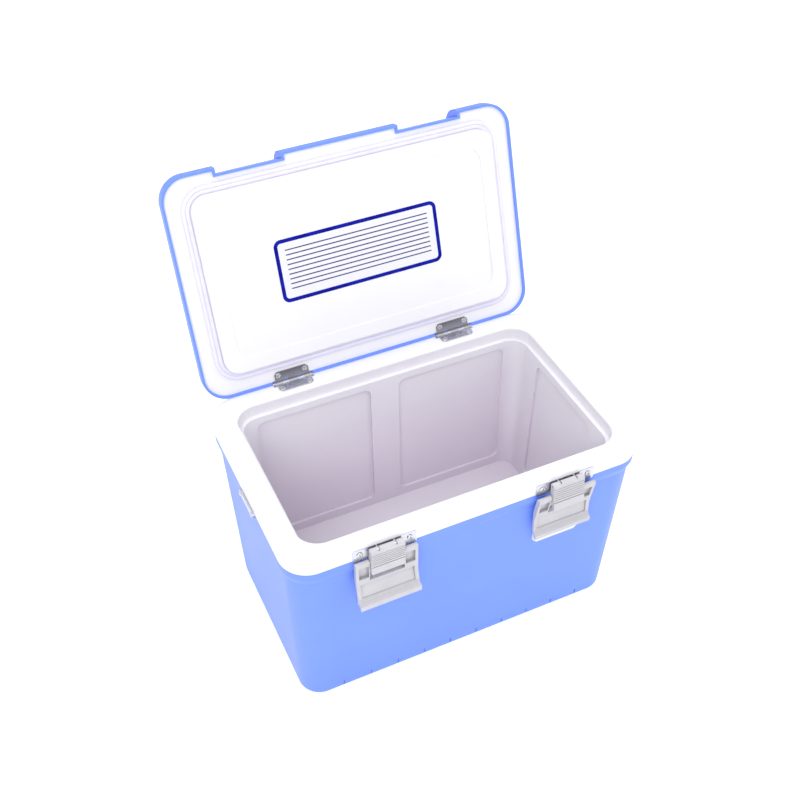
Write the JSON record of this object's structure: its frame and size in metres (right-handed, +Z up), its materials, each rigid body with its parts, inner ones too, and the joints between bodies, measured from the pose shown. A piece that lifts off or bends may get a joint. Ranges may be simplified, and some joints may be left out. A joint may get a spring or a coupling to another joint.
{
  "type": "vaccine carrier",
  "caption": "Rigid insulated box for carrying vaccines cold, with a foam-filled lid hinged at the back and draw latches with ribbed levers at the front.",
  "frame": {"origin": "middle of the box's flat underside, on the surface it stands on", "axes": "+X to the right seen from the front, +Y to the back, where the hinges are, +Z up"},
  "size_m": [0.3976, 0.3597, 0.4664],
  "materials": {
    "blue_shell": "moulded polypropylene with a soft sheen",
    "white_liner": "smooth white moulded plastic",
    "foam": "rigid polyurethane foam",
    "seal_rubber": "soft pale gasket",
    "label": "satin silver-white plate with a dark blue border",
    "steel": "bright stamped steel",
    "latch_grey": "light grey moulded plastic",
    "white_plate": "white moulded plastic"
  },
  "bodies": {
    "box": {"outer_shell": "blue_shell", "inner_liner": "white_liner", "body_foam": "foam", "left_strap_anchor": "steel", "right_strap_anchor": "steel", "strap_anchor_screws": "steel", "left_latch_base": "steel", "right_latch_base": "steel", "latch_base_screws": "steel", "left_lever_pin": "steel", "right_lever_pin": "steel", "left_latch_rest_plate": "white_plate", "right_latch_rest_plate": "white_plate", "left_hinge_body_leaf": "steel", "right_hinge_body_leaf": "steel", "left_hinge_pin": "steel", "right_hinge_pin": "steel", "hinge_body_screws": "steel"},
    "lid": {"lid_shell": "blue_shell", "lid_liner": "white_liner", "lid_foam": "foam", "lid_seal": "seal_rubber", "label_plate": "label", "left_hinge_lid_leaf": "steel", "right_hinge_lid_leaf": "steel", "hinge_lid_screws": "steel"},
    "left_lever": {"left_latch_lever": "latch_grey", "left_clasp_pin": "steel"},
    "right_lever": {"right_latch_lever": "latch_grey", "right_clasp_pin": "steel"},
    "left_clasp": {"left_latch_clasp": "latch_grey"},
    "right_clasp": {"right_latch_clasp": "latch_grey"}
  },
  "joints": [
    {"name": "lid_swing", "type": "hinge", "parent": "box", "child": "lid", "pos_m": [0, 0.1186, 0.2386], "axis": [1, 0, 0], "range_deg": [0, 108.7]},
    {"name": "left_lever_swing", "type": "hinge", "parent": "box", "child": "left_lever", "pos_m": [-0.0985, -0.1274, 0.227], "axis": [1, 0, 0], "range_deg": [-90, 0]},
    {"name": "left_clasp_swing", "type": "hinge", "parent": "left_lever", "child": "left_clasp", "pos_m": [-0.0985, -0.12633, 0.21174], "axis": [-1, 0, 0], "range_deg": [0, 184]},
    {"name": "right_lever_swing", "type": "hinge", "parent": "box", "child": "right_lever", "pos_m": [0.0985, -0.1274, 0.227], "axis": [1, 0, 0], "range_deg": [-80, 0]},
    {"name": "right_clasp_swing", "type": "hinge", "parent": "right_lever", "child": "right_clasp", "pos_m": [0.0985, -0.12847, 0.21174], "axis": [-1, 0, 0], "range_deg": [0, 197.5]}
  ]
}
